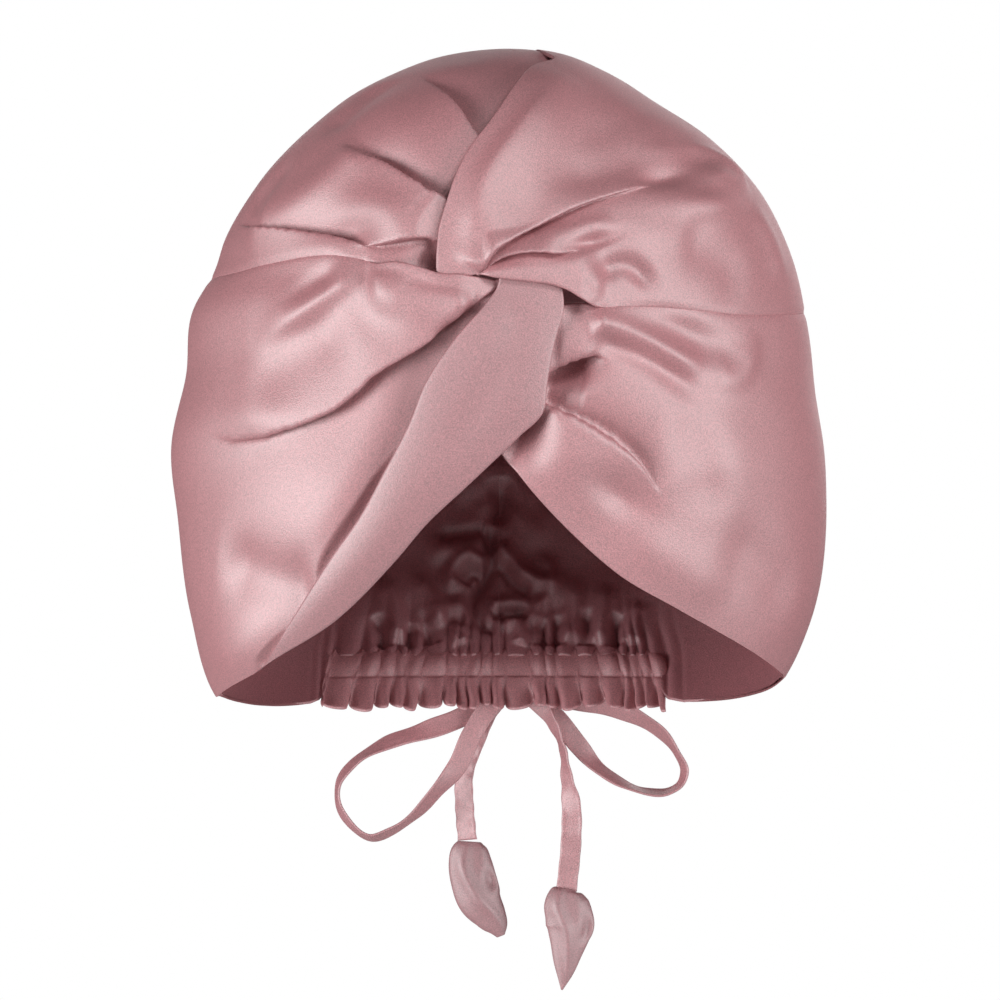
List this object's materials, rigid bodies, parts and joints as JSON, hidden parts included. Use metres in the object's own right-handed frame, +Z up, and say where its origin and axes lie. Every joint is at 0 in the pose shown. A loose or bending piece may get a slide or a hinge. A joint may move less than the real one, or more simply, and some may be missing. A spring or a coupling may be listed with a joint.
{
  "type": "sleep bonnet",
  "caption": "Satin twist-front sleep bonnet with a gathered elastic nape casing and a drawstring bow with leaf-shaped tips.",
  "frame": {"origin": "where the inside of the crown rests on top of the head, at the middle", "axes": "+X to the wearer's left, which is the viewer's right from the front; +Y from the face side to the nape; +Z up"},
  "size_m": [0.2673, 0.2548, 0.3949],
  "materials": {
    "satin": "dusty rose satin, soft sheen",
    "casing_satin": "gathered dusty rose satin",
    "ribbon_satin": "folded and stitched satin"
  },
  "bodies": {
    "root": {"crown_left": "satin", "crown_right": "satin", "side_left": "satin", "side_right": "satin", "twist_band": "satin", "nape_casing": "casing_satin", "bow_knot": "ribbon_satin", "loop_left": "ribbon_satin", "loop_right": "ribbon_satin", "tail_left": "ribbon_satin", "tail_right": "ribbon_satin", "leaf_left": "ribbon_satin", "leaf_right": "ribbon_satin"}
  },
  "joints": []
}
